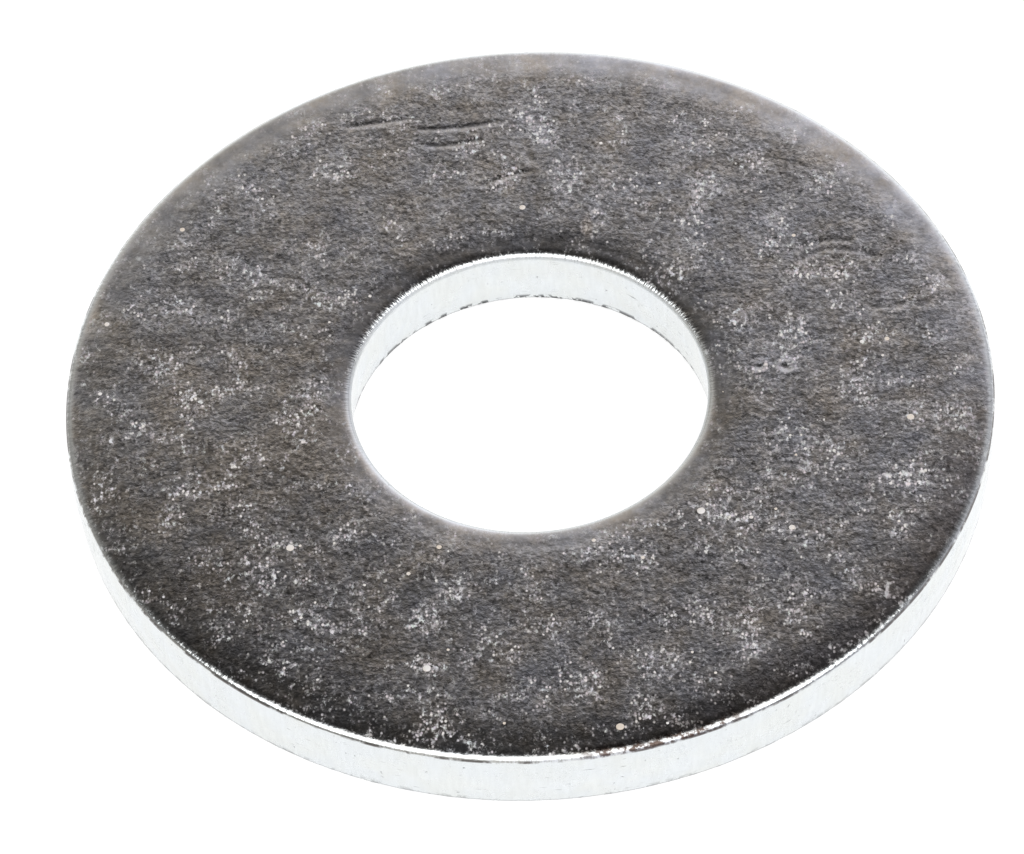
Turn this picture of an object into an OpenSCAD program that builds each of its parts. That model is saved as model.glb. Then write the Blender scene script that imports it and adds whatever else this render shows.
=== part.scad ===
// Large-diameter flat washer for an M8 bolt, blanked from steel strip in a compound die.
// One piece, revolved about +Z. The origin is the centre of the bore on the underside.
// The die leaves its marks on both edges: a rounded roll-over on the upper face, then a
// straight sheared band, then a fracture cone that ends in a small burr on the underside.

/* [Washer] */
// Outside diameter
outside_d = 23.8; // [23.2:0.1:24.0]
// Bore diameter, at the sheared band
bore_d = 9.15; // [9.0:0.05:9.4]
// Thickness, from face to face
thickness = 1.85; // [1.7:0.05:2.3]

/* [Edges] */
// How far the roll-over reaches in from the outside edge
outer_roll_w = 1.5; // [1.0:0.1:2.0]
// How far the face drops at the outside edge
outer_roll_h = 0.2; // [0.08:0.02:0.24]
// How far the roll-over reaches out from the bore
bore_roll_w = 1.3; // [0.8:0.1:1.8]
// How far the face drops at the bore
bore_roll_h = 0.18; // [0.08:0.02:0.24]
// Height of the fracture cones above the underside
fracture_h = 0.8; // [0.5:0.05:1.0]
// How much smaller the outside radius is at the underside
outer_taper = 0.06; // [0.04:0.01:0.14]
// How much larger the bore radius is at the underside
bore_taper = 0.07; // [0.04:0.01:0.12]
// Height and width of the tumbled burr that edges the underside
burr = 0.05; // [0.03:0.01:0.08]

/* [Hidden] */
// Smoothness of the revolved preview
$fn = 180;
// Straight steps that stand for each roll-over curve
roll_steps = 10;
outside_r = outside_d / 2;
bore_r = bore_d / 2;

// Where a roll-over curve lies at share s from the flat face (0) to the sheared band (1),
// as [distance in from the edge, drop below the face]. It leaves both of them tangentially.
function roll_over(s, width, drop) = [width * pow(1 - s, 2), drop * pow(s, 2)];

// Half of the washer's section, to the right of the axis, anticlockwise from the bore burr.
function section() = concat(
    [[bore_r + bore_taper, burr], [bore_r + bore_taper + burr, 0]],
    [[outside_r - outer_taper - burr, 0], [outside_r - outer_taper, burr]],
    [[outside_r, fracture_h]],
    [for (i = [roll_steps : -1 : 0])
        let (p = roll_over(i / roll_steps, outer_roll_w, outer_roll_h))
        [outside_r - p[0], thickness - p[1]]],
    [for (i = [0 : roll_steps])
        let (p = roll_over(i / roll_steps, bore_roll_w, bore_roll_h))
        [bore_r + p[0], thickness - p[1]]],
    [[bore_r, fracture_h]]
);

// The blanked ring: plain steel under a thin bright zinc plating
module washer() {
    color("silver")
        rotate_extrude() polygon(section());
}

washer();
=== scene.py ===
# %% [markdown]
# # A flat washer
# A large-diameter flat washer is one ring of steel. A press blanks it from strip in a single
# stroke, it is tumbled to take the burrs off, and a thin coat of bright zinc is plated on.
# There is nothing to assemble, so this lesson makes one piece with care: the blanked ring
# with its rolled-over edges, the marks on its faces, and the plating.
# The imported CAD model comes first: the washer's outside diameter and thickness are measured from it.

# %% Load the frame
import math
import bpy
from mathutils import Matrix, Vector


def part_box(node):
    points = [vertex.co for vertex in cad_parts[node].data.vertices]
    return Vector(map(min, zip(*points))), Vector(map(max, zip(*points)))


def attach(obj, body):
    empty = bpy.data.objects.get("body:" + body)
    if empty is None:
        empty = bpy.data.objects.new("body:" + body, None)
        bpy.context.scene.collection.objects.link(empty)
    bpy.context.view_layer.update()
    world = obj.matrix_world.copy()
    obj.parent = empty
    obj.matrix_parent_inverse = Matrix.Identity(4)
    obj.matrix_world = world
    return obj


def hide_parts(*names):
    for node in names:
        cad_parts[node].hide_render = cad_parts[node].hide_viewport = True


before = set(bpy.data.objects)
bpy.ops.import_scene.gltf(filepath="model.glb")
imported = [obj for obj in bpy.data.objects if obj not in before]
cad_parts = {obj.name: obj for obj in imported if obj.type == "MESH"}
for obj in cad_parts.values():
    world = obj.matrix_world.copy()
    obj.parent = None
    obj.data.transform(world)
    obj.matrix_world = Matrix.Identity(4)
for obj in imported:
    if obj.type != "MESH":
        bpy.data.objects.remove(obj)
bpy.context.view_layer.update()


# %% [markdown]
# Sizes are written in millimetres, as on a drawing, and turned to metres where Blender needs
# them. Colours are written as the hex values a paint card gives. Blender mixes light in
# linear values, so one function turns each hex colour to linear.

# %% Units, colours and one node helper
MM = 0.001


def linear(hex_colour):
    """An sRGB hex colour such as "#A1B2C3" as linear red, green, blue and alpha."""
    channels = []
    for i in (1, 3, 5):
        c = int(hex_colour[i:i + 2], 16) / 255
        channels.append(c / 12.92 if c <= 0.04045 else ((c + 0.055) / 1.055) ** 2.4)
    return (*channels, 1.0)


def add(tree, kind, inputs=None, **settings):
    """Adds a node. settings are its own options. inputs are values, sockets or nodes that feed it;
    a node feeds it from its first output."""
    node = tree.nodes.new(kind)
    for name, value in settings.items():
        setattr(node, name, value)
    for socket, value in (inputs or {}).items():
        if isinstance(value, bpy.types.Node):
            value = value.outputs[0]
        if isinstance(value, bpy.types.NodeSocket):
            tree.links.new(value, node.inputs[socket])
        else:
            node.inputs[socket].default_value = value
    return node


# %% [markdown]
# The washer's sizes come from its CAD model: the box gives the outside diameter and the
# thickness. The rest is the blanking die's work. The punch drags the upper face down into a
# rounded roll-over, shears a straight band, and then the last of the steel tears away in a
# slight cone that ends in a small burr.

# %% Sizes of the washer
low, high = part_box("washer")
OUTSIDE_R = (high[0] - low[0]) / 2 / MM
THICKNESS = (high[2] - low[2]) / MM
BORE_R = 4.575
OUTER_ROLL = (1.5, 0.2)
BORE_ROLL = (1.3, 0.18)
FRACTURE_H = 0.8
OUTER_TAPER = 0.06
BORE_TAPER = 0.07
BURR = 0.05
print(f"washer {2 * OUTSIDE_R:.2f} x {2 * BORE_R:.2f} x {THICKNESS:.2f} mm")


# %% [markdown]
# ## The plating
# Bright zinc plate is a real metal: it has no colour of its own beyond a faint blue, and what
# it shows is the room, broken up by the grain of the strip beneath. So the material is a
# metal with a rough reflection, and most of the look comes from fine bumps.
# The upper and lower faces are rolled strip, with a pebbled grain a tenth of a millimetre
# across, dull frosty patches and warm and cool stains from the passivating bath. The sheared
# walls are bright and pale, with drag lines and a few pits. The mesh carries an attribute
# called wall, 0 on the faces and 1 on the walls, to tell the two apart.

# %% Zinc plating: coordinates
plating = bpy.data.materials.new("bright_zinc_electroplate")
plating.use_nodes = True
mat = plating.node_tree
mat.nodes.clear()

place = add(mat, "ShaderNodeTexCoord").outputs["Object"]
mm = add(mat, "ShaderNodeVectorMath", {0: place, "Scale": 1 / MM}, operation="SCALE")
xyz = add(mat, "ShaderNodeSeparateXYZ", {0: mm})
flat = add(mat, "ShaderNodeCombineXYZ", {0: xyz.outputs[0], 1: xyz.outputs[1]})
radius = add(mat, "ShaderNodeVectorMath", {0: flat}, operation="LENGTH").outputs["Value"]
heading = add(mat, "ShaderNodeVectorMath", {0: flat}, operation="NORMALIZE")
height = xyz.outputs[2]
wall = add(mat, "ShaderNodeAttribute", attribute_name="wall").outputs["Fac"]
crease = add(mat, "ShaderNodeAttribute", attribute_name="crease").outputs["Fac"]
rim = add(mat, "ShaderNodeAttribute", attribute_name="rim").outputs["Fac"]
bloom = add(mat, "ShaderNodeAttribute", attribute_name="bloom").outputs["Fac"]
warmth = add(mat, "ShaderNodeAttribute", attribute_name="warmth").outputs["Fac"]
shade = add(mat, "ShaderNodeAttribute", attribute_name="shade").outputs["Fac"]

# %% Zinc plating: where the die has burnished the face
# 1 on the open face. On the roll-overs it falls to 0.25 at the bore, to 0.7 on the rim that faces
# -y and to 0.12 on the rim that faces +y.
rolled_over = add(mat, "ShaderNodeMapRange", {"Value": radius, "From Min": OUTSIDE_R - OUTER_ROLL[0],
                                              "From Max": OUTSIDE_R - 0.3, "To Min": 0.0, "To Max": 1.0},
                  interpolation_type="SMOOTHSTEP")
back_side = add(mat, "ShaderNodeSeparateXYZ", {0: heading}).outputs[1]
calm_depth = add(mat, "ShaderNodeMapRange", {"Value": back_side, "From Min": 0.1, "From Max": 0.7,
                                             "To Min": -0.3, "To Max": -0.88},
                 interpolation_type="SMOOTHSTEP")
calm_out = add(mat, "ShaderNodeMath", {0: rolled_over, 1: calm_depth, 2: 1.0}, operation="MULTIPLY_ADD")
calm_in = add(mat, "ShaderNodeMapRange", {"Value": radius, "From Min": BORE_R + 0.2,
                                          "From Max": BORE_R + 1.1, "To Min": 0.25, "To Max": 1.0},
              interpolation_type="SMOOTHSTEP")
calm_edges = add(mat, "ShaderNodeMath", {0: calm_out, 1: calm_in}, operation="MULTIPLY")
off_crease = add(mat, "ShaderNodeMath", {0: crease, 1: -0.7, 2: 1.0}, operation="MULTIPLY_ADD")
calm = add(mat, "ShaderNodeMath", {0: calm_edges, 1: off_crease}, operation="MULTIPLY")

# %% [markdown]
# The face starts as two greys, a warm one and a cool one, which drift into each other over a
# few millimetres, and a lighter and darker tone drifts over them on a finer scale. Frosty
# patches are where the zinc crystals stand up: there the plate is rougher, and its glints are
# painted into the colour as fine near-white points, which a patch mask turns up and down.

# %% Zinc plating: colour of the faces
STAIN_PITCH = 1.4
stain = add(mat, "ShaderNodeTexNoise", {"Vector": mm, "Scale": 1 / STAIN_PITCH, "Detail": 5.0,
                                        "Roughness": 0.75})
warmed = add(mat, "ShaderNodeMath", {0: warmth, 1: -0.07, 2: stain}, operation="MULTIPLY_ADD")
stain_ramp = add(mat, "ShaderNodeValToRGB", {"Fac": warmed})
stain_ramp.color_ramp.elements[0].position = 0.34
stain_ramp.color_ramp.elements[0].color = linear("#B4ADA4")
stain_ramp.color_ramp.elements[1].position = 0.66
stain_ramp.color_ramp.elements[1].color = linear("#AEAFB4")
middle = stain_ramp.color_ramp.elements.new(0.5)
middle.color = linear("#B1AFAE")
TONE_PITCH = 0.9
tone = add(mat, "ShaderNodeTexNoise", {"Vector": mm, "Scale": 1 / TONE_PITCH, "Detail": 5.0,
                                       "Roughness": 0.7})
bloomed_tone = add(mat, "ShaderNodeMath", {0: bloom, 1: 0.04, 2: tone}, operation="MULTIPLY_ADD")
# The shade attribute darkens the tone: painted shade over the lower left of the face.
toned_by = add(mat, "ShaderNodeMath", {0: shade, 1: -0.2, 2: bloomed_tone}, operation="MULTIPLY_ADD")
tone_level = add(mat, "ShaderNodeMapRange", {"Value": toned_by, "From Min": 0.3, "From Max": 0.7,
                                             "To Min": 0.58, "To Max": 1.15})
toned = add(mat, "ShaderNodeVectorMath", {0: stain_ramp, "Scale": tone_level}, operation="SCALE")

PATCH_PITCH = 1.0
patch = add(mat, "ShaderNodeTexNoise", {"Vector": mm, "Scale": 1 / PATCH_PITCH, "Detail": 4.0,
                                        "Roughness": 0.75})
patched = add(mat, "ShaderNodeMath", {0: bloom, 1: 0.11, 2: patch}, operation="MULTIPLY_ADD")
patch_level = add(mat, "ShaderNodeMapRange", {"Value": patched, "From Min": 0.40, "From Max": 0.71},
                  interpolation_type="SMOOTHSTEP")
# Rolling draws the crystals out a little along the strip, which runs along y.
rolled = add(mat, "ShaderNodeVectorMath", {0: mm, 1: (1.0, 0.77, 1.0)}, operation="MULTIPLY")
# Painted glints: single crystals are painted as bright dots, each with its own strength and a
# breath of colour. The denser the frost, the more of them are painted bright.
DOT_PITCH = 0.09
dots = add(mat, "ShaderNodeTexVoronoi", {"Vector": rolled, "Scale": 1 / DOT_PITCH})
dot_core = add(mat, "ShaderNodeMapRange", {"Value": dots.outputs["Distance"], "From Min": 0.58,
                                           "From Max": 0.12},
               interpolation_type="SMOOTHSTEP")
dot_rgb = add(mat, "ShaderNodeSeparateXYZ", {0: dots.outputs["Color"]})
dot_stand = add(mat, "ShaderNodeMath", {0: patch_level, 1: 0.34, 2: dot_rgb.outputs[0]},
                operation="MULTIPLY_ADD")
dot_strength = add(mat, "ShaderNodeMapRange", {"Value": dot_stand, "From Min": 0.6, "From Max": 1.15})
dot_mask = add(mat, "ShaderNodeMath", {0: dot_core, 1: dot_strength}, operation="MULTIPLY")
POINT_PITCH = 0.13
point = add(mat, "ShaderNodeTexNoise", {"Vector": rolled, "Scale": 1 / POINT_PITCH, "Detail": 4.0,
                                        "Roughness": 0.7})
point_stand = add(mat, "ShaderNodeMath", {0: patch_level, 1: 0.09, 2: point}, operation="MULTIPLY_ADD")
point_mask = add(mat, "ShaderNodeMapRange", {"Value": point_stand, "From Min": 0.50, "From Max": 0.82},
                 interpolation_type="SMOOTHSTEP")
point_both = add(mat, "ShaderNodeMath", {0: dot_mask, 1: point_mask}, operation="MAXIMUM")
frost_light = add(mat, "ShaderNodeMapRange", {"Value": patch_level, "To Min": 0.34, "To Max": 1.62})
calm_frost = add(mat, "ShaderNodeMapRange", {"Value": calm, "From Min": 0.1, "From Max": 0.8,
                                             "To Min": 0.55, "To Max": 1.0})
patchy = add(mat, "ShaderNodeMath", {0: frost_light, 1: calm_frost}, operation="MULTIPLY")
uneven = add(mat, "ShaderNodeMapRange", {"Value": dot_rgb.outputs[1], "To Min": 0.4, "To Max": 1.3})
# Painted glints: how bright each dot is painted.
painted_glint_strength = add(mat, "ShaderNodeMath", {0: point_both, 1: uneven}, operation="MULTIPLY")
points = add(mat, "ShaderNodeMath", {0: patchy, 1: painted_glint_strength}, operation="MULTIPLY")
# The rims of the two craters are frosted too. This mask whitens the colour in painted glints and roughens
# the frost.
frost_and_glints = add(mat, "ShaderNodeMath", {0: rim, 1: 0.45, 2: points}, operation="MULTIPLY_ADD", use_clamp=True)
frost_and_glint_colour = add(mat, "ShaderNodeMix", {"Factor": 0.09, "A": linear("#FCF9FD"),
                                          "B": dots.outputs["Color"]},
                   data_type="RGBA").outputs["Result"]
# Painted glints: where the dots are, the metal's colour is whitened.
with_frost_and_glints = add(mat, "ShaderNodeMix", {"Factor": frost_and_glints, "A": toned, "B": frost_and_glint_colour},
              data_type="RGBA").outputs["Result"]
# A short smear of dried passivate above the bore.
SMEAR_AT = (1.75, 5.45, 0.0)
smear_off = add(mat, "ShaderNodeVectorMath", {0: flat, 1: SMEAR_AT}, operation="SUBTRACT")
smear_round = add(mat, "ShaderNodeVectorMath", {0: smear_off, 1: (1 / 0.22, 1 / 0.62, 0.0)},
                  operation="MULTIPLY")
smear_gap = add(mat, "ShaderNodeVectorMath", {0: smear_round}, operation="LENGTH").outputs["Value"]
smear = add(mat, "ShaderNodeMapRange", {"Value": smear_gap, "From Min": 1.0, "From Max": 0.2,
                                        "To Max": 0.45},
            interpolation_type="SMOOTHSTEP")
face_colour = add(mat, "ShaderNodeMix", {"Factor": smear, "A": with_frost_and_glints, "B": linear("#DCCDBC")},
                  data_type="RGBA").outputs["Result"]


# %% [markdown]
# The grain is two things. A Voronoi texture splits the face into crystals a tenth of a
# millimetre across, and each crystal leans its own way by a few degrees. A Bump node adds a
# softer relief: its Distance is one millimetre in metres, so its heights are in millimetres.
# Both calm down on the roll-overs, where the die has burnished the strip. There the drawn
# steel shows as hairlines that run out over the edge, so the noise is stretched that way.

# %% Zinc plating: grain
RIPPLE_PITCH = 0.2
ripple = add(mat, "ShaderNodeTexNoise", {"Vector": rolled, "Scale": 1 / RIPPLE_PITCH,
                                         "Detail": 1.0}).outputs["Color"]
shifted = add(mat, "ShaderNodeVectorMath", {0: ripple, 1: (0.08, 0.08, 0.08), 2: rolled},
              operation="MULTIPLY_ADD")
CRYSTAL_PITCH = 0.08
crystal = add(mat, "ShaderNodeTexVoronoi",
              {"Vector": shifted, "Scale": 1 / CRYSTAL_PITCH}).outputs["Color"]
centred = add(mat, "ShaderNodeVectorMath", {0: crystal, 1: (2.0, 2.0, 2.0), 2: (-1.0, -1.0, -1.0)},
              operation="MULTIPLY_ADD")
squared = add(mat, "ShaderNodeVectorMath", {0: centred, 1: centred}, operation="MULTIPLY")
cubed = add(mat, "ShaderNodeVectorMath", {0: squared, 1: centred}, operation="MULTIPLY")
level_lean = add(mat, "ShaderNodeVectorMath", {0: cubed, 1: (0.042, 0.042, 0.0)}, operation="MULTIPLY")
face_share = add(mat, "ShaderNodeMath", {0: 1.0, 1: wall}, operation="SUBTRACT")
lean_share = add(mat, "ShaderNodeMath", {0: calm, 1: face_share}, operation="MULTIPLY")
lean = add(mat, "ShaderNodeVectorMath", {0: level_lean, "Scale": lean_share}, operation="SCALE")

GRAIN_PITCH = 0.18
grain = add(mat, "ShaderNodeTexNoise", {"Vector": mm, "Scale": 1 / GRAIN_PITCH, "Detail": 3.0,
                                        "Roughness": 0.6})
grain_depth = add(mat, "ShaderNodeMath", {0: lean_share, 1: 0.012}, operation="MULTIPLY")
grain_level = add(mat, "ShaderNodeMath", {0: grain, 1: 0.5}, operation="SUBTRACT")
grain_mm = add(mat, "ShaderNodeMath", {0: grain_level, 1: grain_depth}, operation="MULTIPLY")

# %% Zinc plating: hairlines over the edges
# The place on a circle of 8 mm, whatever the radius, so that a hairline keeps its width
# from the seat of the curve to its edge and has no seam.
HAIR_CIRCLE = 8.0
on_circle = add(mat, "ShaderNodeVectorMath", {0: heading, "Scale": HAIR_CIRCLE}, operation="SCALE")
slow_out = add(mat, "ShaderNodeMath", {0: radius, 1: height}, operation="SUBTRACT")
slow_axis = add(mat, "ShaderNodeCombineXYZ", {2: slow_out})
hair_place = add(mat, "ShaderNodeVectorMath", {0: slow_axis, 1: (0.0, 0.0, 0.18), 2: on_circle},
                 operation="MULTIPLY_ADD")
HAIR_PITCH = 0.10
hair = add(mat, "ShaderNodeTexNoise", {"Vector": hair_place, "Scale": 1 / HAIR_PITCH, "Detail": 2.0})
# The bore's edge was cut by the punch and keeps strong hairs; the outer edge has fainter ones.
near_out = add(mat, "ShaderNodeMapRange", {"Value": radius, "From Min": OUTSIDE_R - 0.25,
                                           "From Max": OUTSIDE_R, "To Max": 0.55})
at_bore = add(mat, "ShaderNodeMapRange", {"Value": radius, "From Min": BORE_R + 0.26,
                                          "From Max": BORE_R})
in_share = add(mat, "ShaderNodeMapRange", {"Value": back_side, "From Min": -0.1, "From Max": 0.5,
                                           "To Min": 0.2})
near_in = add(mat, "ShaderNodeMath", {0: at_bore, 1: in_share}, operation="MULTIPLY")
near_edge = add(mat, "ShaderNodeMath", {0: near_out, 1: near_in}, operation="MAXIMUM")
over_lip = add(mat, "ShaderNodeMapRange", {"Value": height, "From Min": THICKNESS - 0.26,
                                           "From Max": THICKNESS - 0.2})
edge_face = add(mat, "ShaderNodeMath", {0: near_edge, 1: over_lip}, operation="MULTIPLY")
HAIR_DEPTH = 0.034
hair_mm = add(mat, "ShaderNodeMath", {0: hair, 1: HAIR_DEPTH, 2: -0.5 * HAIR_DEPTH},
              operation="MULTIPLY_ADD")
relief_mm = add(mat, "ShaderNodeMath", {0: hair_mm, 1: edge_face, 2: grain_mm}, operation="MULTIPLY_ADD")


# %% [markdown]
# The sheared walls are almost mirror-bright and show the white table. Drag lines run down
# them, a few pits stay grey, and a dark, broken line of painted shade runs along the underside.

# %% Zinc plating: walls
TINT_PITCH = 0.9
tint = add(mat, "ShaderNodeTexNoise", {"Vector": mm, "Scale": 1 / TINT_PITCH, "Detail": 3.0})
tint_ramp = add(mat, "ShaderNodeValToRGB", {"Fac": tint})
tint_ramp.color_ramp.elements[0].position = 0.38
tint_ramp.color_ramp.elements[0].color = linear("#E2E5E4")
tint_ramp.color_ramp.elements[1].position = 0.62
tint_ramp.color_ramp.elements[1].color = linear("#E2E6E8")
drawn = add(mat, "ShaderNodeVectorMath", {0: mm, 1: (1.0, 1.0, 0.2)}, operation="MULTIPLY")
DRAG_PITCH = 0.12
drag = add(mat, "ShaderNodeTexNoise", {"Vector": drawn, "Scale": 1 / DRAG_PITCH, "Detail": 2.0})
drag_level = add(mat, "ShaderNodeMapRange", {"Value": drag, "From Min": 0.3, "From Max": 0.7,
                                             "To Min": 0.965, "To Max": 1.02})
dragged = add(mat, "ShaderNodeVectorMath", {0: tint_ramp, "Scale": drag_level},
              operation="SCALE")
PIT_PITCH = 0.16
pit = add(mat, "ShaderNodeTexNoise", {"Vector": mm, "Scale": 1 / PIT_PITCH, "Detail": 2.0})
pit_share = add(mat, "ShaderNodeMapRange", {"Value": pit, "From Min": 0.70, "From Max": 0.80,
                                            "To Max": 0.6},
                interpolation_type="SMOOTHSTEP")
scuff_place = add(mat, "ShaderNodeVectorMath", {0: mm, 1: (1.0, 1.0, 7.0)}, operation="MULTIPLY")
SCUFF_PITCH = 0.55
scuff = add(mat, "ShaderNodeTexNoise", {"Vector": scuff_place, "Scale": 1 / SCUFF_PITCH, "Detail": 3.0})
scuff_share = add(mat, "ShaderNodeMapRange", {"Value": scuff, "From Min": 0.66, "From Max": 0.78,
                                              "To Max": 0.5},
                  interpolation_type="SMOOTHSTEP")
# Painted shade: a dark, broken line along the underside of both walls, where they stand on the table.
CONTACT_SHADE_HEIGHT = 0.24
low_down = add(mat, "ShaderNodeMapRange", {"Value": height, "From Min": CONTACT_SHADE_HEIGHT,
                                           "From Max": 0.4 * CONTACT_SHADE_HEIGHT},
               interpolation_type="SMOOTHSTEP")
BROKEN_PITCH = 0.4
broken = add(mat, "ShaderNodeTexNoise", {"Vector": mm, "Scale": 1 / BROKEN_PITCH, "Detail": 3.0,
                                         "Roughness": 0.7})
broken_share = add(mat, "ShaderNodeMapRange", {"Value": broken, "From Min": 0.50, "From Max": 0.56,
                                               "To Max": 1.0},
                   interpolation_type="SMOOTHSTEP")
painted_contact_shade = add(mat, "ShaderNodeMath", {0: low_down, 1: broken_share}, operation="MULTIPLY")
# The painted shade along the underside is full round the bore and weaker at the rim.
bore_shade_more = add(mat, "ShaderNodeMapRange", {"Value": radius, "From Min": BORE_R + 1.0,
                                                 "From Max": BORE_R + 1.5,
                                                 "To Min": 1.0, "To Max": 0.3})
contact_shade_share = add(mat, "ShaderNodeMath", {0: painted_contact_shade, 1: bore_shade_more}, operation="MULTIPLY")
pits_scuffs = add(mat, "ShaderNodeMath", {0: pit_share, 1: scuff_share}, operation="MAXIMUM")
# The marks are the real pits and scuffs plus the painted shade along the underside.
marks = add(mat, "ShaderNodeMath", {0: pits_scuffs, 1: contact_shade_share}, operation="MAXIMUM")
wall_colour = add(mat, "ShaderNodeMix", {"Factor": marks, "A": dragged, "B": linear("#46484A")},
                  data_type="RGBA").outputs["Result"]

# %% Zinc plating: which way the rim faces
def towards(degrees, wide_from, wide_to):
    """1 where the rim faces a heading in degrees. It falls to 0 as the cosine of the angle off that
    heading drops from wide_to to wide_from."""
    heading_at = (math.cos(math.radians(degrees)), math.sin(math.radians(degrees)), 0.0)
    along = add(mat, "ShaderNodeVectorMath", {0: heading, 1: heading_at},
                operation="DOT_PRODUCT").outputs["Value"]
    return add(mat, "ShaderNodeMapRange", {"Value": along, "From Min": wide_from, "From Max": wide_to},
               interpolation_type="SMOOTHSTEP")


# %% [markdown]
# Three brown marks lie on one side only. A thin dark brown line over the upper outer corner is
# partly stain and partly a painted dark reflection, one spot on the lip is stained brown by the
# bath, and the face beside them turns darker and browner towards its edge.

# %% Zinc plating: brown stains and a painted dark corner line
# A thin dark brown line over the upper corner: partly brown stain, partly a painted dark reflection near
# where the roll-over turns into the wall.
outside = add(mat, "ShaderNodeMath", {0: radius, 1: (OUTSIDE_R + BORE_R) / 2}, operation="GREATER_THAN")
off_corner = add(mat, "ShaderNodeMath", {0: height, 1: THICKNESS - 0.17}, operation="SUBTRACT")
corner_gap = add(mat, "ShaderNodeMath", {0: off_corner}, operation="ABSOLUTE")
corner_line = add(mat, "ShaderNodeMapRange", {"Value": corner_gap, "From Min": 0.04, "From Max": 0.015})
BROWN_PITCH = 1.6
brown = add(mat, "ShaderNodeTexNoise", {"Vector": mm, "Scale": 1 / BROWN_PITCH, "Detail": 5.0,
                                        "Roughness": 0.75})
brown_side = towards(-22.0, 0.84, 0.97)
brown_spot = towards(-76.0, 0.972, 0.993)
browner = add(mat, "ShaderNodeMath", {0: brown_side, 1: 0.08, 2: brown}, operation="MULTIPLY_ADD")
brown_share = add(mat, "ShaderNodeMapRange", {"Value": browner, "From Min": 0.46, "From Max": 0.58,
                                              "To Max": 0.8},
                  interpolation_type="SMOOTHSTEP")
# In one place the stain covers the whole lip.
lip_in = add(mat, "ShaderNodeMapRange", {"Value": radius, "From Min": OUTSIDE_R - 0.45,
                                         "From Max": OUTSIDE_R - 0.2})
lip_up = add(mat, "ShaderNodeMapRange", {"Value": height, "From Min": THICKNESS - 0.20,
                                         "From Max": THICKNESS - 0.15})
lip = add(mat, "ShaderNodeMath", {0: lip_in, 1: lip_up}, operation="MULTIPLY")
CLUMPS_PITCH = 0.25
clumps = add(mat, "ShaderNodeTexNoise", {"Vector": mm, "Scale": 1 / CLUMPS_PITCH, "Detail": 4.0,
                                         "Roughness": 0.7})
clump_share = add(mat, "ShaderNodeMapRange", {"Value": clumps, "From Min": 0.42, "From Max": 0.56,
                                              "To Min": 0.2},
                  interpolation_type="SMOOTHSTEP")
lip_spot = add(mat, "ShaderNodeMath", {0: lip, 1: brown_spot}, operation="MULTIPLY")
lip_brown = add(mat, "ShaderNodeMath", {0: lip_spot, 1: clump_share}, operation="MULTIPLY")
corner_share = add(mat, "ShaderNodeMath", {0: outside, 1: corner_line}, operation="MULTIPLY")
corner_stain_and_reflection = add(mat, "ShaderNodeMath", {0: corner_share, 1: brown_share}, operation="MULTIPLY")
# On the same side the face browns towards its edge.
edge_in = add(mat, "ShaderNodeMapRange", {"Value": radius, "From Min": OUTSIDE_R - 1.5,
                                          "From Max": OUTSIDE_R - 0.1,
                                          "To Max": 0.5})
edge_brown = add(mat, "ShaderNodeMath", {0: edge_in, 1: towards(-45.0, 0.68, 0.96)}, operation="MULTIPLY")
face_browned = add(mat, "ShaderNodeMix", {"Factor": edge_brown, "A": face_colour, "B": linear("#6B5D52")},
                   data_type="RGBA").outputs["Result"]
plain = add(mat, "ShaderNodeMix", {"Factor": wall, "A": face_browned, "B": wall_colour},
            data_type="RGBA").outputs["Result"]
# Over the upper outer corner the colour turns dark brown: partly stain, partly painted dark reflection.
lined = add(mat, "ShaderNodeMix", {"Factor": corner_stain_and_reflection, "A": plain, "B": linear("#3E3029")},
            data_type="RGBA").outputs["Result"]
colour = add(mat, "ShaderNodeMix", {"Factor": lip_brown, "A": lined, "B": linear("#564B45")},
             data_type="RGBA").outputs["Result"]

# %% Zinc plating: the shader
bump = add(mat, "ShaderNodeBump", {"Height": relief_mm, "Distance": MM, "Strength": 1.0})
leaning = add(mat, "ShaderNodeVectorMath", {0: bump, 1: lean}, operation="ADD")
normal = add(mat, "ShaderNodeVectorMath", {0: leaning}, operation="NORMALIZE")
# The punch leaves the last turn of the bore's edge scraped, so it is less of a mirror.
inside = add(mat, "ShaderNodeMath", {0: 1.0, 1: outside}, operation="SUBTRACT")
scraped = add(mat, "ShaderNodeMapRange", {"Value": corner_gap, "From Min": 0.07, "From Max": 0.03})
scraped_in = add(mat, "ShaderNodeMath", {0: scraped, 1: inside}, operation="MULTIPLY")
dulled = add(mat, "ShaderNodeMath", {0: frost_and_glints, 1: scraped_in}, operation="MAXIMUM")
roughness = add(mat, "ShaderNodeMapRange", {"Value": dulled, "To Min": 0.16, "To Max": 0.62})
shader = add(mat, "ShaderNodeBsdfPrincipled", {"Base Color": colour, "Metallic": 1.0,
                                               "Roughness": roughness, "Normal": normal})
add(mat, "ShaderNodeOutputMaterial", {"Surface": shader})
print(f"{plating.name}: {len(mat.nodes)} nodes")


# %% [markdown]
# Where a speck of dirt lay on the strip, zinc piled up over it in a small round nodule. It is
# cream, paler on top and browner round the foot, so this finish is a dull, pale one.

# %% Plating nodules
nodule = bpy.data.materials.new("passivated_plating_nodule")
nodule.use_nodes = True
nod = nodule.node_tree
nod.nodes.clear()
nod_place = add(nod, "ShaderNodeTexCoord").outputs["Object"]
nod_mm = add(nod, "ShaderNodeVectorMath", {0: nod_place, "Scale": 1 / MM}, operation="SCALE")
NOD_NOISE_PITCH = 0.6
nod_noise = add(nod, "ShaderNodeTexNoise", {"Vector": nod_mm, "Scale": 1 / NOD_NOISE_PITCH, "Detail": 1.0})
nod_ramp = add(nod, "ShaderNodeValToRGB", {"Fac": nod_noise})
nod_ramp.color_ramp.elements[0].position = 0.4
nod_ramp.color_ramp.elements[0].color = linear("#F4F1EE")
nod_ramp.color_ramp.elements[1].position = 0.6
nod_ramp.color_ramp.elements[1].color = linear("#E8DCCD")
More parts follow.
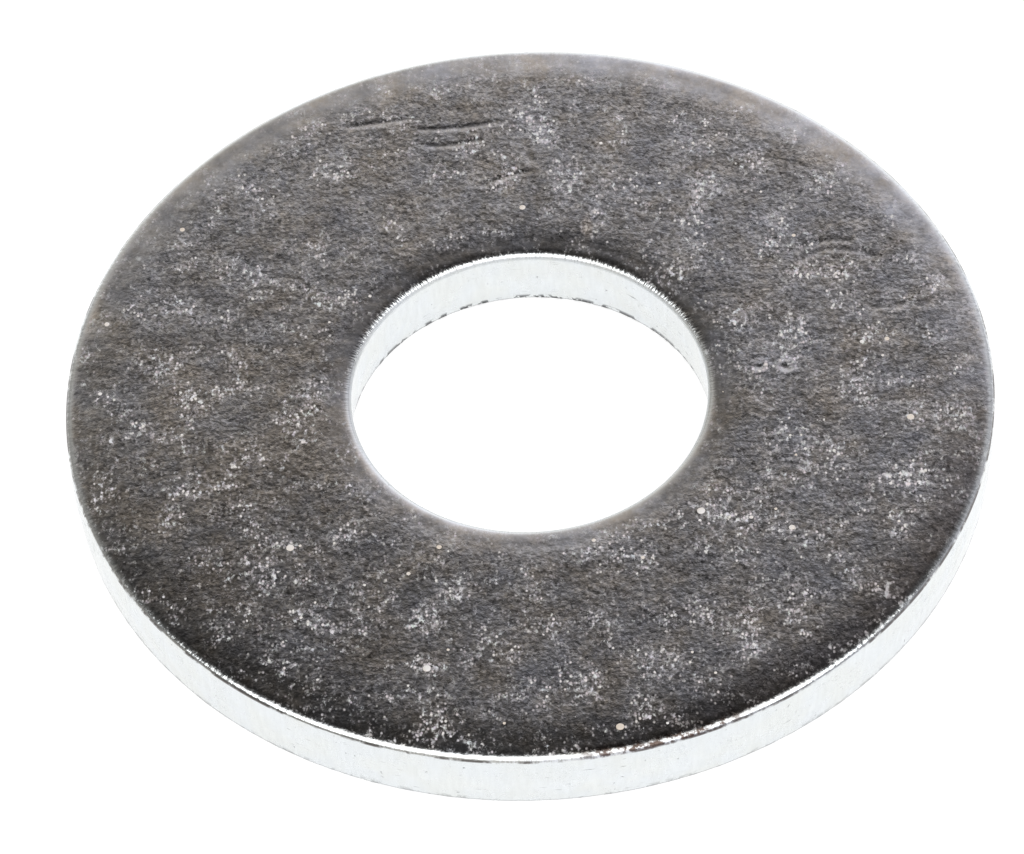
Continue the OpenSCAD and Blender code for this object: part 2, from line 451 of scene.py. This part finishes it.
# Each dome is paler where it faces up and browner where its side slopes down to the face.
nod_up = add(nod, "ShaderNodeSeparateXYZ",
             {0: add(nod, "ShaderNodeTexCoord").outputs["Normal"]}).outputs[2]
nod_top = add(nod, "ShaderNodeMapRange", {"Value": nod_up, "From Min": 0.55, "From Max": 0.92},
              interpolation_type="SMOOTHSTEP")
nod_colour = add(nod, "ShaderNodeMix", {"Factor": nod_top, "A": linear("#A58E7A"), "B": nod_ramp},
                 data_type="RGBA").outputs["Result"]
nod_shader = add(nod, "ShaderNodeBsdfPrincipled", {"Base Color": nod_colour, "Roughness": 0.45})
add(nod, "ShaderNodeOutputMaterial", {"Surface": nod_shader})
print(f"{nodule.name}: {len(nod.nodes)} nodes")


# %% [markdown]
# ## The blanked ring
# The ring's shape follows a rule: one section carried round the bore's circle. That is a job
# for Geometry Nodes. The section is drawn in strokes, one for each thing the die did, so each
# stroke can have as many points as it needs.

# %% The ring: named inputs
ring_tree = bpy.data.node_groups.new("blanked_ring", "GeometryNodeTree")
ring_tree.interface.new_socket("Geometry", in_out="OUTPUT", socket_type="NodeSocketGeometry")
SIZES = {"Bore Radius": BORE_R, "Outside Radius": OUTSIDE_R, "Thickness": THICKNESS,
         "Outer Roll Width": OUTER_ROLL[0], "Outer Roll Drop": OUTER_ROLL[1],
         "Bore Roll Width": BORE_ROLL[0], "Bore Roll Drop": BORE_ROLL[1],
         "Fracture Height": FRACTURE_H, "Outer Taper": OUTER_TAPER, "Bore Taper": BORE_TAPER, "Burr": BURR}
for name, value in SIZES.items():
    socket = ring_tree.interface.new_socket(name, in_out="INPUT", socket_type="NodeSocketFloat")
    socket.default_value = value * MM
for name, value in {"Steps Round": 600, "Scatter Seed": 11, "Size Seed": 5}.items():
    socket = ring_tree.interface.new_socket(name, in_out="INPUT", socket_type="NodeSocketInt")
    socket.default_value = value
for name in ("Plating", "Nodule"):
    ring_tree.interface.new_socket(name, in_out="INPUT", socket_type="NodeSocketMaterial")
size = add(ring_tree, "NodeGroupInput").outputs


# %% The ring: corners of the section
def sum_of(*terms):
    """Adds up sockets in the ring's tree; a term written as a pair (socket, factor) is scaled first."""
    total = None
    for term in terms:
        source, factor = term if isinstance(term, tuple) else (term, 1.0)
        if total is None and factor == 1.0:
            total = source
            continue
        node = add(ring_tree, "ShaderNodeMath", {0: source, 1: factor, 2: total if total else 0.0},
                   operation="MULTIPLY_ADD")
        total = node
    return total


def corner(out, up):
    """A point of the section: out from the bore wall, and up from the underside."""
    return add(ring_tree, "ShaderNodeCombineXYZ", {0: out, 1: up})


width = sum_of(size["Outside Radius"], (size["Bore Radius"], -1.0))
top = size["Thickness"]
face_in = corner(size["Bore Roll Width"], top)
face_out = corner(sum_of(width, (size["Outer Roll Width"], -1.0)), top)
outer_corner = corner(width, top)
outer_band_top = corner(width, sum_of(top, (size["Outer Roll Drop"], -1.0)))
outer_band_low = corner(width, size["Fracture Height"])
outer_burr = corner(sum_of(width, (size["Outer Taper"], -1.0)), size["Burr"])
under_out = corner(sum_of(width, (size["Outer Taper"], -1.0), (size["Burr"], -1.0)), 0.0)
under_in = corner(sum_of(size["Bore Taper"], size["Burr"]), 0.0)
bore_burr = corner(size["Bore Taper"], size["Burr"])
bore_band_low = corner(0.0, size["Fracture Height"])
bore_band_top = corner(0.0, sum_of(top, (size["Bore Roll Drop"], -1.0)))
bore_corner = corner(0.0, top)


# %% The ring: strokes of the section
STROKES = [  # corners, and how many points (or steps, on a roll-over) along the stroke
    ((face_in, face_out), 61),
    ((face_out, outer_corner, outer_band_top), 24),
    ((outer_band_top, outer_band_low), 9),
    ((outer_band_low, outer_burr), 9),
    ((outer_burr, under_out), 3),
    ((under_out, under_in), 7),
    ((under_in, bore_burr), 3),
    ((bore_burr, bore_band_low), 8),
    ((bore_band_low, bore_band_top), 9),
    ((bore_band_top, bore_corner, face_in), 22),
]
section = add(ring_tree, "GeometryNodeJoinGeometry")
for corners, count in STROKES:
    if len(corners) == 2:
        straight = add(ring_tree, "GeometryNodeCurvePrimitiveLine",
                       {"Start": corners[0], "End": corners[1]})
        stroke = add(ring_tree, "GeometryNodeResampleCurve", {"Curve": straight, "Count": count},
                     mode="COUNT")
    else:
        stroke = add(ring_tree, "GeometryNodeCurveQuadraticBezier",
                     {"Resolution": count, "Start": corners[0], "Middle": corners[1], "End": corners[2]})
    ring_tree.links.new(stroke.outputs[0], section.inputs[0])
print(f"section: {len(STROKES)} strokes")
# Curve to Mesh lays a section's Y axis downwards, so the section is turned over first.
section_up = add(ring_tree, "GeometryNodeTransform", {"Geometry": section, "Scale": (1.0, -1.0, 1.0)})
bore_circle = add(ring_tree, "GeometryNodeCurvePrimitiveCircle",
                  {"Resolution": size["Steps Round"], "Radius": size["Bore Radius"]})
swept = add(ring_tree, "GeometryNodeCurveToMesh", {"Curve": bore_circle,
                                                   "Profile Curve": section_up})
ring = add(ring_tree, "GeometryNodeMergeByDistance", {"Geometry": swept, "Distance": 0.0005 * MM})

# %% The ring: wall attribute
facing = add(ring_tree, "ShaderNodeSeparateXYZ", {0: add(ring_tree, "GeometryNodeInputNormal")})
upright = add(ring_tree, "ShaderNodeMath", {0: facing.outputs[2]}, operation="ABSOLUTE")
wall_share = add(ring_tree, "ShaderNodeMapRange", {"Value": upright, "From Min": 0.985, "From Max": 0.93},
                 interpolation_type="SMOOTHSTEP")
ring_wall = add(ring_tree, "GeometryNodeStoreNamedAttribute",
                {"Geometry": ring, "Name": "wall", "Value": wall_share}, domain="POINT")


# %% [markdown]
# A washer is never quite flat. Rolling and pickling leave a gentle orange peel, the walls
# carry the drag lines of the punch, and where washers rubbed in the tumbling barrel the face
# has a few laps: thin creases with a raised lip. The creases are drawn as short curves, and
# each point of the face asks how far it is from the nearest one. All relief goes inwards, so
# the ring never grows past its size.

# %% The ring: laps in the face
LAPS = [  # start, middle and end of each crease, in mm from the bore's centre
    ((-2.5, 9.2), (-1.6, 9.1), (-0.5, 9.3)),
    ((-2.3, 8.6), (-1.7, 8.5), (-0.9, 8.7)),
    ((-4.4, 9.4), (-3.6, 9.5), (-2.7, 9.6)),
    ((0.3, 8.4), (0.3, 8.1), (0.4, 7.8)),
    ((-0.9, 7.1), (-0.3, 7.4), (0.4, 7.5)),
    ((7.0, 4.1), (7.8, 4.7), (8.6, 4.4)),
    ((7.2, 3.9), (8.0, 4.5), (9.1, 3.9)),
    ((9.0, 2.1), (9.6, 2.2), (10.5, 2.2)),
]
creases = add(ring_tree, "GeometryNodeJoinGeometry")
for start, middle, end in LAPS:
    ends = [(x * MM, y * MM, THICKNESS * MM) for x, y in (start, middle, end)]
    curve = add(ring_tree, "GeometryNodeCurveQuadraticBezier",
                {"Resolution": 16, "Start": ends[0], "Middle": ends[1], "End": ends[2]})
    thread = add(ring_tree, "GeometryNodeCurveToMesh", {"Curve": curve})
    ring_tree.links.new(thread.outputs[0], creases.inputs[0])
away = add(ring_tree, "GeometryNodeProximity", {"Geometry": creases},
           target_element="EDGES").outputs["Distance"]
LAP_HALF = 0.07
crease_share = add(ring_tree, "ShaderNodeMapRange", {"Value": away, "From Min": 0.0,
                                                     "From Max": LAP_HALF * MM,
                                                     "To Min": 1.0, "To Max": 0.0},
                   interpolation_type="SMOOTHSTEP")


# %% The ring: where the finish blooms, dulls and stains, and where shade is painted
def spots(places, reach_mm):
    """1 at any of the places, (x, y) in mm on the upper face, falling to 0 at reach_mm away."""
    marks = add(ring_tree, "GeometryNodeJoinGeometry")
    for x, y in places:
        one = add(ring_tree, "GeometryNodePoints", {"Count": 1,
                                                    "Position": (x * MM, y * MM, THICKNESS * MM)})
        ring_tree.links.new(one.outputs[0], marks.inputs[0])
    gap = add(ring_tree, "GeometryNodeProximity", {"Geometry": marks},
              target_element="POINTS").outputs["Distance"]
    return add(ring_tree, "ShaderNodeMapRange", {"Value": gap, "From Min": 0.0, "From Max": reach_mm * MM,
                                                 "To Min": 1.0, "To Max": 0.0},
               interpolation_type="SMOOTHSTEP")


FROSTED = [(0.6, 9.0), (1.3, 7.3), (-4.8, 8.0), (-7.0, 3.8), (2.8, 8.7), (4.8, 6.7), (7.0, 1.7),
           (6.4, 0.6),
           (5.5, 2.0), (8.9, 1.0), (9.6, -1.6), (9.3, -3.1), (5.3, -4.7), (6.4, -5.1), (2.6, -5.8),
           (5.2, -7.9),
           (5.1, -8.6), (3.2, -9.0), (1.0, -9.8), (0.1, -7.8), (-2.9, -7.3), (-3.0, -8.8), (-5.9, -7.0),
           (-7.4, -6.4), (-7.2, -5.1), (-6.4, -4.7), (-8.6, -2.7), (-6.3, -0.8), (-8.8, 0.4), (-9.3, -0.9),
           (4.2, -4.5), (8.4, -7.0), (-2.6, -10.7), (2.6, -10.6), (9.3, -5.0), (10.8, -1.8), (6.8, 5.4)]
DULL = [(8.5, 4.9), (9.2, 3.0), (8.3, 5.8), (2.1, 8.8), (3.7, 8.5), (-3.2, 7.3), (-4.7, 6.6), (-7.0, 2.9),
        (-8.0, 3.8), (-6.2, -2.5), (-5.7, -3.6), (-1.4, 9.7), (3.0, 10.0), (5.2, 2.9), (-3.6, 3.6),
        (-9.2, -5.0),
        (-5.3, -8.6), (0.6, -6.0), (3.7, -6.6), (7.6, -8.2), (-7.7, -8.0), (1.5, -10.7), (10.2, 0.2)]
WARM = [(-7.0, 1.2), (-6.3, -1.7), (-8.3, -2.6), (-8.6, 0.3), (-3.4, 8.4), (6.6, 3.8), (9.0, 1.0),
        (10.9, -1.4),
        (8.6, -7.3), (2.9, 8.8), (5.2, -8.0), (-1.0, 8.9), (7.2, 7.2), (-4.4, -3.6), (-3.4, -8.2),
        (-9.7, -3.6)]
COOL = [(5.5, 1.6), (8.3, 5.4), (0.7, 8.9), (1.0, 7.3), (-7.6, 7.7), (6.4, -2.3), (0.2, -8.9), (-4.9, 8.3),
        (7.6, -4.2), (-9.8, 4.6), (9.6, 3.2), (-5.6, -7.6), (2.6, 6.6), (4.0, -8.4)]
bloom_share = sum_of(spots(FROSTED, 0.85), (spots(DULL, 0.95), -0.8))
# Painted shade: the face's colour is darker over its lower left, standing in for a darker reflection
# there.
painted_shade_lower_left = spots([(-8.0, -7.5)], 7.5)
warm_share = sum_of(spots(WARM, 1.3), (spots(COOL, 1.3), -1.0), (spots([(-7.5, -2.0)], 6.5), 1.5))


# %% The ring: craters
spot = add(ring_tree, "GeometryNodeInputPosition")
spot_mm = add(ring_tree, "ShaderNodeVectorMath", {0: spot, "Scale": 1 / MM}, operation="SCALE")
spot_xyz = add(ring_tree, "ShaderNodeSeparateXYZ", {0: spot_mm})
spot_out = add(ring_tree, "ShaderNodeVectorMath", {0: spot_mm, 1: (1.0, 1.0, 0.0)}, operation="MULTIPLY")

# Two small craters, each a bowl with a raised rim, where gas bubbles sat in the bath.
CRATERS = [(5.95, 0.35, 0.17), (6.6, 0.3, 0.20)]  # place in mm, and radius
BOWL_DEPTH = 0.022
CRATER_LIP = 0.012
LIP_HALF = 0.07
crater = None
rim_share = None
for x, y, r in CRATERS:
    gap = add(ring_tree, "ShaderNodeVectorMath", {0: spot_out, 1: (x, y, 0.0)},
              operation="DISTANCE").outputs["Value"]
    bowl = add(ring_tree, "ShaderNodeMapRange", {"Value": gap, "From Min": 0.0, "From Max": r,
                                                 "To Min": BOWL_DEPTH, "To Max": 0.0},
               interpolation_type="SMOOTHSTEP")
    past_rim = add(ring_tree, "ShaderNodeMath", {0: gap, 1: r}, operation="SUBTRACT")
    off_rim = add(ring_tree, "ShaderNodeMath", {0: past_rim}, operation="ABSOLUTE")
    rim_here = add(ring_tree, "ShaderNodeMapRange", {"Value": off_rim, "From Min": 0.0,
                                                     "From Max": LIP_HALF,
                                                     "To Min": 1.0, "To Max": 0.0},
                   interpolation_type="SMOOTHSTEP")
    depth = sum_of(bowl, (rim_here, -CRATER_LIP))
    crater = depth if crater is None else sum_of(crater, depth)
    rim_share = rim_here if rim_share is None else sum_of(rim_share, rim_here)

# %% The ring: relief of the faces
# Depths and pitches in mm. SAFE_DEPTH keeps the craters' raised rims under the face.
PEEL_PITCH = 0.45
PEEL_DEPTH = 0.012
WAVE_PITCH = 3.0
WAVE_DEPTH = 0.020
LAP_DEPTH = 0.020
SAFE_DEPTH = 0.012
FADE_IN = (0.02, 0.6)
fine_peel = add(ring_tree, "ShaderNodeTexNoise", {"Vector": spot_mm, "Scale": 1 / PEEL_PITCH,
                                                  "Detail": 2.0})
waves = add(ring_tree, "ShaderNodeTexNoise", {"Vector": spot_mm, "Scale": 1 / WAVE_PITCH, "Detail": 1.0})
relief = sum_of((fine_peel, PEEL_DEPTH), (waves, WAVE_DEPTH), (crease_share, LAP_DEPTH), (crater, 1.0))
peel = add(ring_tree, "ShaderNodeMath", {0: relief, 1: SAFE_DEPTH}, operation="ADD")
# It fades out over the last half millimetre before each edge, so that it leaves no step there.
spot_r = add(ring_tree, "ShaderNodeVectorMath", {0: spot_out}, operation="LENGTH").outputs["Value"]
from_rim = add(ring_tree, "ShaderNodeMath", {0: OUTSIDE_R, 1: spot_r}, operation="SUBTRACT")
from_bore = add(ring_tree, "ShaderNodeMath", {0: spot_r, 1: BORE_R}, operation="SUBTRACT")
from_edge = add(ring_tree, "ShaderNodeMath", {0: from_rim, 1: from_bore}, operation="MINIMUM")
inland = add(ring_tree, "ShaderNodeMapRange", {"Value": from_edge, "From Min": FADE_IN[0],
                                               "From Max": FADE_IN[1]},
             interpolation_type="SMOOTHSTEP")
face_relief = add(ring_tree, "ShaderNodeMath", {0: peel, 1: inland}, operation="MULTIPLY")

# %% The ring: relief of the walls
# Drag lines run down the wall, so their noise is stretched four times along the height. Below
# the sheared band the steel tore, and the wall is rougher there.
WALL_DRAG_PITCH = 0.3
DRAG_DEPTH = 0.012
TORN_PITCH = 0.35
TORN_DEPTH = 0.020
TORN_BLEND = 0.25
drag_place = add(ring_tree, "ShaderNodeVectorMath", {0: spot_mm, 1: (1.0, 1.0, 0.25)},
                 operation="MULTIPLY")
drag_lines = add(ring_tree, "ShaderNodeTexNoise", {"Vector": drag_place, "Scale": 1 / WALL_DRAG_PITCH,
                                                   "Detail": 2.0})
torn_bumps = add(ring_tree, "ShaderNodeTexNoise", {"Vector": spot_mm, "Scale": 1 / TORN_PITCH,
                                                   "Detail": 2.0})
torn = add(ring_tree, "ShaderNodeMapRange", {"Value": spot_xyz.outputs[2], "From Min": FRACTURE_H,
                                             "From Max": FRACTURE_H - TORN_BLEND, "To Min": 0.0,
                                             "To Max": 1.0},
           interpolation_type="SMOOTHSTEP")
torn_noise = add(ring_tree, "ShaderNodeMath", {0: torn, 1: torn_bumps}, operation="MULTIPLY")
wall_drag = sum_of((drag_lines, DRAG_DEPTH), (torn_noise, TORN_DEPTH))
wall_now = add(ring_tree, "GeometryNodeInputNamedAttribute", {"Name": "wall"}, data_type="FLOAT")
below_roll = add(ring_tree, "ShaderNodeMapRange", {"Value": spot_xyz.outputs[2],
                                                   "From Min": THICKNESS - 0.18,
                                                   "From Max": THICKNESS - 0.45},
                 interpolation_type="SMOOTHSTEP")
wall_share_low = add(ring_tree, "ShaderNodeMath", {0: wall_now, 1: below_roll}, operation="MULTIPLY")
wall_relief = add(ring_tree, "ShaderNodeMath", {0: wall_drag, 1: wall_share_low}, operation="MULTIPLY")

# %% The ring: move the points and mark them
inwards = sum_of((face_relief, -MM), (wall_relief, -MM))
ring_normal = add(ring_tree, "GeometryNodeInputNormal")
push = add(ring_tree, "ShaderNodeVectorMath", {0: ring_normal, "Scale": inwards}, operation="SCALE")
marked = ring_wall
for name, share in (("rim", rim_share), ("crease", crease_share), ("bloom", bloom_share),
                    ("warmth", warm_share),
                    ("shade", painted_shade_lower_left)):
    marked = add(ring_tree, "GeometryNodeStoreNamedAttribute",
                 {"Geometry": marked, "Name": name, "Value": share}, domain="POINT")
worn = add(ring_tree, "GeometryNodeSetPosition", {"Geometry": marked, "Offset": push})


# %% [markdown]
# Where the zinc grew a little proud it shows as small round nodules, cream where the
# passivating bath stained them. The largest are listed one by one; the rest are scattered. Each is
# a flattened dome of a few faces, sunk halfway into the face.

# %% The ring: plating nodules
NODULES = [  # place in mm from the bore's centre, and radius
    (-8.8, 6.15, 0.09), (-10.8, 3.05, 0.09), (-6.25, -4.75, 0.12), (-6.0, -4.7, 0.07),
    (-2.95, -8.85, 0.12),
    (1.75, -11.0, 0.12), (4.15, -4.3, 0.12), (4.1, -4.6, 0.07), (5.4, -4.6, 0.08), (6.4, -5.0, 0.10),
    (9.65, -1.6, 0.11), (8.6, 1.0, 0.08), (9.25, 1.05, 0.09), (9.1, 0.5, 0.07), (7.1, 4.75, 0.08),
    (5.8, 4.65, 0.06), (0.1, 6.25, 0.10), (-2.5, -5.0, 0.09), (-3.3, -5.8, 0.08), (-1.9, -5.9, 0.06),
    (1.4, -5.05, 0.08), (2.6, -5.7, 0.08), (-5.4, -0.2, 0.05), (4.95, 1.95, 0.06), (4.9, 1.2, 0.06),
    (4.95, 0.2, 0.06), (4.95, -0.4, 0.06), (-2.4, -8.3, 0.07), (-1.1, -10.7, 0.07), (4.2, -9.5, 0.07),
    (3.6, -9.4, 0.05), (8.1, -1.1, 0.05), (9.1, -5.0, 0.07), (-11.0, 0.7, 0.08), (8.3, 0.6, 0.05),
]
set_points = add(ring_tree, "GeometryNodeJoinGeometry")
for x, y, r in NODULES:
    one = add(ring_tree, "GeometryNodePoints", {"Count": 1, "Position": (x * MM, y * MM, THICKNESS * MM),
                                                "Radius": r * MM})
    ring_tree.links.new(one.outputs[0], set_points.inputs[0])
upward = add(ring_tree, "ShaderNodeSeparateXYZ", {0: add(ring_tree, "GeometryNodeInputNormal")}).outputs[2]
on_face = add(ring_tree, "FunctionNodeCompare", {0: upward, 1: 0.99}, operation="GREATER_THAN")
scattered = add(ring_tree, "GeometryNodeDistributePointsOnFaces",
                {"Mesh": worn, "Selection": on_face, "Density": 0.28e6, "Seed": size["Scatter Seed"]})
draw = add(ring_tree, "FunctionNodeRandomValue", {"Min": 0.0, "Max": 1.0, "Seed": size["Size Seed"]},
           data_type="FLOAT").outputs["Value"]
rare = add(ring_tree, "ShaderNodeMath", {0: draw, 1: 2.5}, operation="POWER")
some_r = add(ring_tree, "ShaderNodeMapRange", {"Value": rare, "To Min": 0.03 * MM, "To Max": 0.075 * MM})
sized = add(ring_tree, "GeometryNodeSetPointRadius", {"Points": scattered.outputs["Points"],
                                                      "Radius": some_r})
all_points = add(ring_tree, "GeometryNodeJoinGeometry")
ring_tree.links.new(set_points.outputs[0], all_points.inputs[0])
ring_tree.links.new(sized.outputs[0], all_points.inputs[0])
landing = add(ring_tree, "GeometryNodeProximity", {"Geometry": worn},
              target_element="FACES").outputs["Position"]
SINK = 0.018
landed = add(ring_tree, "GeometryNodeSetPosition", {"Geometry": all_points, "Position": landing,
                                                    "Offset": (0.0, 0.0, -SINK * MM)})
dome = add(ring_tree, "GeometryNodeMeshUVSphere", {"Segments": 12, "Rings": 6, "Radius": 1.0})
dome_marked = add(ring_tree, "GeometryNodeStoreNamedAttribute",
                  {"Geometry": dome, "Name": "nodule", "Value": 1.0}, domain="POINT")
dome_r = add(ring_tree, "GeometryNodeInputRadius")
DOME_SHAPE = (1.0, 1.0, 0.32)
dome_scale = add(ring_tree, "ShaderNodeVectorMath", {0: DOME_SHAPE, "Scale": dome_r}, operation="SCALE")
domes = add(ring_tree, "GeometryNodeInstanceOnPoints", {"Points": landed, "Instance": dome_marked,
                                                        "Scale": dome_scale})

# %% The ring: join, shade, realize, coat
whole = add(ring_tree, "GeometryNodeJoinGeometry")
ring_tree.links.new(worn.outputs[0], whole.inputs[0])
ring_tree.links.new(domes.outputs[0], whole.inputs[0])
real = add(ring_tree, "GeometryNodeRealizeInstances", {"Geometry": whole})
smooth = add(ring_tree, "GeometryNodeSetShadeSmooth", {"Geometry": real})
plated = add(ring_tree, "GeometryNodeSetMaterial", {"Geometry": smooth, "Material": size["Plating"]})
is_nodule = add(ring_tree, "GeometryNodeInputNamedAttribute", {"Name": "nodule"}, data_type="FLOAT")
picked = add(ring_tree, "FunctionNodeCompare", {0: is_nodule, 1: 0.5}, operation="GREATER_THAN")
coated = add(ring_tree, "GeometryNodeSetMaterial", {"Geometry": plated, "Selection": picked,
                                                    "Material": size["Nodule"]})
add(ring_tree, "NodeGroupOutput", {0: coated})


# %% The ring: build it
def built(tree, name, values):
    """Runs a Geometry Nodes tree on an empty mesh and returns its result as a plain mesh object."""
    seed = bpy.data.objects.new(name + "_nodes", bpy.data.meshes.new(name + "_nodes"))
    bpy.context.scene.collection.objects.link(seed)
    modifier = seed.modifiers.new("build", "NODES")
    modifier.node_group = tree
    sockets = {item.name: item.identifier for item in tree.interface.items_tree if item.in_out == "INPUT"}
    for label, value in values.items():
        modifier[sockets[label]] = value
    graph = bpy.context.evaluated_depsgraph_get()
    mesh = bpy.data.meshes.new_from_object(seed.evaluated_get(graph))
    bpy.data.objects.remove(seed)
    piece = bpy.data.objects.new(name, mesh)
    bpy.context.scene.collection.objects.link(piece)
    return piece


washer = built(ring_tree, "plated_washer", {"Plating": plating, "Nodule": nodule})
triangles = sum(len(face.vertices) - 2 for face in washer.data.polygons)
print(f"plated_washer: {len(washer.data.vertices)} points, {triangles} triangles")

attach(washer, "root")
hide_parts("washer")


# %% [markdown]
# ## The studio
# The washer lies on a lit sheet of opal acrylic, the usual table for a small bright part: it
# is white from edge to edge and hides the shadow.

# %% Floor
floor_mesh = bpy.data.meshes.new("opal_table")
FLOOR_HALF = 2.5
corners = [(-FLOOR_HALF, -FLOOR_HALF, 0), (FLOOR_HALF, -FLOOR_HALF, 0), (FLOOR_HALF, FLOOR_HALF, 0),
           (-FLOOR_HALF, FLOOR_HALF, 0)]
floor_mesh.from_pydata(corners, [], [(0, 1, 2, 3)])
floor = bpy.data.objects.new("opal_table", floor_mesh)
bpy.context.scene.collection.objects.link(floor)
opal = bpy.data.materials.new("lit_opal_acrylic")
opal.use_nodes = True
opal.node_tree.nodes.clear()
opal_shader = add(opal.node_tree, "ShaderNodeBsdfPrincipled",
                  {"Base Color": linear("#A4A4A4"), "Roughness": 0.9, "Specular IOR Level": 0.0,
                   "Emission Color": linear("#FFFFFF"), "Emission Strength": 0.82})
add(opal.node_tree, "ShaderNodeOutputMaterial", {"Surface": opal_shader})
floor_mesh.materials.append(opal)
print(f"floor: {2 * FLOOR_HALF:.0f} m square")


# %% [markdown]
# A light tent hangs round the table. Its wall is white low down and open higher up at the
# back, so the far half of the washer mirrors white and the near half mirrors a darker sky. A
# metal's look is what it reflects, so this matters more than any lamp.

# %% Room light
world = bpy.data.worlds.new("light_tent")
bpy.context.scene.world = world
world.use_nodes = True
sky = world.node_tree
sky.nodes.clear()
look = add(sky, "ShaderNodeTexCoord").outputs["Generated"]
up = add(sky, "ShaderNodeSeparateXYZ", {0: look})
climb = add(sky, "ShaderNodeMath", {0: up.outputs[2]}, operation="ARCSINE")
climb_deg = add(sky, "ShaderNodeMath", {0: climb}, operation="DEGREES")
sky_share = add(sky, "ShaderNodeMath", {0: climb_deg, 1: 90.0}, operation="DIVIDE")


def sky_ramp(stops):
    """Grey levels at elevations in degrees, as a colour ramp over the sky."""
    ramp = add(sky, "ShaderNodeValToRGB", {"Fac": sky_share})
    ramp.color_ramp.interpolation = "EASE"
    elements = ramp.color_ramp.elements
    for i, (degrees, level) in enumerate(stops):
        stop = elements[i] if i < 2 else elements.new(degrees / 90.0)
        stop.position = degrees / 90.0
        stop.color = (level, level, level, 1.0)
    return ramp


back = sky_ramp([(30.0, 1.0), (90.0, 0.02), (38.0, 1.0), (43.0, 0.80), (48.0, 0.36), (53.0, 0.20),
                 (57.0, 0.08),
                 (62.0, 0.025)])
front = sky_ramp([(18.0, 1.0), (90.0, 1.0), (30.0, 0.85), (45.0, 0.9), (60.0, 1.0), (70.0, 1.0)])
side = add(sky, "ShaderNodeMapRange", {"Value": up.outputs[1], "From Min": -0.25, "From Max": 0.1},
           interpolation_type="SMOOTHSTEP")
tent = add(sky, "ShaderNodeMix", {"Factor": side, "A": front, "B": back},
           data_type="RGBA").outputs["Result"]
# The tent is a little darker and warmer on the left.
across = add(sky, "ShaderNodeMapRange", {"Value": up.outputs[0], "From Min": -0.1, "From Max": 0.1})
side_tint = add(sky, "ShaderNodeMix", {"Factor": across, "A": (0.755, 0.725, 0.69, 1.0),
                                       "B": (1.195, 1.18, 1.245, 1.0)},
                data_type="RGBA").outputs["Result"]
# Low down it is plain white, so that the table runs into it without a line.
off_horizon = add(sky, "ShaderNodeMapRange", {"Value": climb_deg, "From Min": 5.0, "From Max": 14.0},
                  interpolation_type="SMOOTHSTEP")
filter_tint = add(sky, "ShaderNodeMix", {"Factor": off_horizon, "A": (1.1, 1.1, 1.1, 1.0), "B": side_tint},
                  data_type="RGBA").outputs["Result"]
tinted = add(sky, "ShaderNodeVectorMath", {0: tent, 1: filter_tint}, operation="MULTIPLY")
# Its two ends are open to the dark room.
aside = add(sky, "ShaderNodeMath", {0: up.outputs[0]}, operation="ABSOLUTE")
open_ends = add(sky, "ShaderNodeMapRange", {"Value": aside, "From Min": 0.25, "From Max": 0.6,
                                            "To Min": 0.0,
                                            "To Max": 0.6}, interpolation_type="SMOOTHSTEP")
raised = add(sky, "ShaderNodeMapRange", {"Value": climb_deg, "From Min": 10.0, "From Max": 28.0},
             interpolation_type="SMOOTHSTEP")
darkened = add(sky, "ShaderNodeMath", {0: open_ends, 1: raised}, operation="MULTIPLY")
open_ends = add(sky, "ShaderNodeMath", {0: 1.0, 1: darkened}, operation="SUBTRACT")
tinted = add(sky, "ShaderNodeVectorMath", {0: tinted, "Scale": open_ends}, operation="SCALE")
sky_light = add(sky, "ShaderNodeBackground", {"Color": tinted, "Strength": 1.0})
add(sky, "ShaderNodeOutputWorld", {"Surface": sky_light})


# %% [markdown]
# One softbox hangs over the table. It gives the face its soft light from above.

# %% Softbox
def softbox(name, elevation, distance, size_x, size_y, radiance):
    """A square light at an elevation in degrees, measured from the camera's side, facing the washer."""
    tilt = math.radians(elevation)
    where = Vector((0.0, -math.cos(tilt), math.sin(tilt))) * distance
    data = bpy.data.lights.new(name, "AREA")
    data.shape = "RECTANGLE"
    data.size = size_x
    data.size_y = size_y
    data.energy = radiance * math.pi * size_x * size_y
    lamp = bpy.data.objects.new(name, data)
    lamp.location = where
    lamp.rotation_euler = (-where).to_track_quat("-Z", "Y").to_euler()
    lamp.visible_camera = False
    bpy.context.scene.collection.objects.link(lamp)
    return lamp


softbox("overhead_softbox", 88.0, 1.0, 1.4, 0.48, 2.3)


# %% [markdown]
# The camera stands a little above the table and looks down at the washer at a slant.

# %% Camera
LENS = 266.3
DISTANCE = 195.35
ELEVATION = 50.1
ROLL = -3.24
ASIDE = -0.51
LIFT = 0.22
tilt = math.radians(ELEVATION)
turn = math.radians(ROLL)
ahead = Vector((0.0, math.cos(tilt), -math.sin(tilt)))
right = Vector((1.0, 0.0, 0.0))
up_axis = right.cross(ahead)
cam_right = math.cos(turn) * right + math.sin(turn) * up_axis
cam_up = -math.sin(turn) * right + math.cos(turn) * up_axis
eye = (-ahead * DISTANCE + ASIDE * cam_right + LIFT * cam_up) * MM
camera_data = bpy.data.cameras.new("camera")
camera_data.lens = LENS
camera_data.sensor_width = 36.0
camera_data.clip_start = 0.01
camera = bpy.data.objects.new("camera", camera_data)
axes = Matrix((cam_right, cam_up, -ahead)).transposed().to_4x4()
camera.matrix_world = Matrix.Translation(eye) @ axes
bpy.context.scene.collection.objects.link(camera)
bpy.context.scene.camera = camera
bpy.context.scene.view_settings.view_transform = "Standard"
